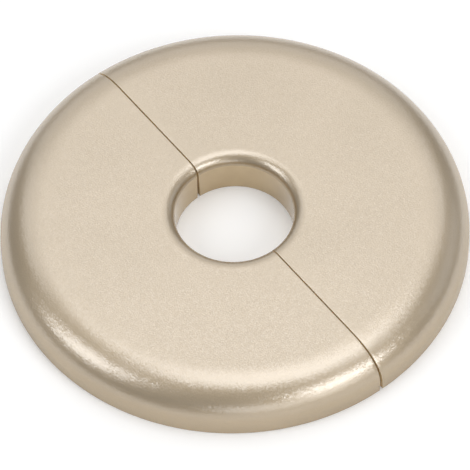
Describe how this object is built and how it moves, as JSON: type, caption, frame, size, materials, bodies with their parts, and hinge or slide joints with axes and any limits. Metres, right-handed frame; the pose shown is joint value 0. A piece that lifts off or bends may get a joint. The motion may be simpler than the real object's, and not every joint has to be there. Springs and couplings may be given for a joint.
{
  "type": "radiator pipe collar",
  "caption": "Round collar moulded as a pair of half rings that peg together round a pipe, with a flat top, a rounded rim and a hollow underside.",
  "frame": {"origin": "on the pipe's axis, in the plane of the base that lies on the floor or the wall", "axes": "+Z along the pipe away from the surface, +X along the split between the halves, +Y the way the rear half pulls off"},
  "size_m": [0.06, 0.06, 0.006],
  "materials": {
    "champagne_plastic": "satin pearl champagne gold over a fine spark-eroded grain"
  },
  "bodies": {
    "front": {"front_half": "champagne_plastic"},
    "rear": {"rear_half": "champagne_plastic"}
  },
  "joints": [
    {"name": "halves_pull_apart", "type": "slide", "parent": "front", "child": "rear", "axis": [0, 1, 0], "range_m": [0, 0.025]}
  ]
}
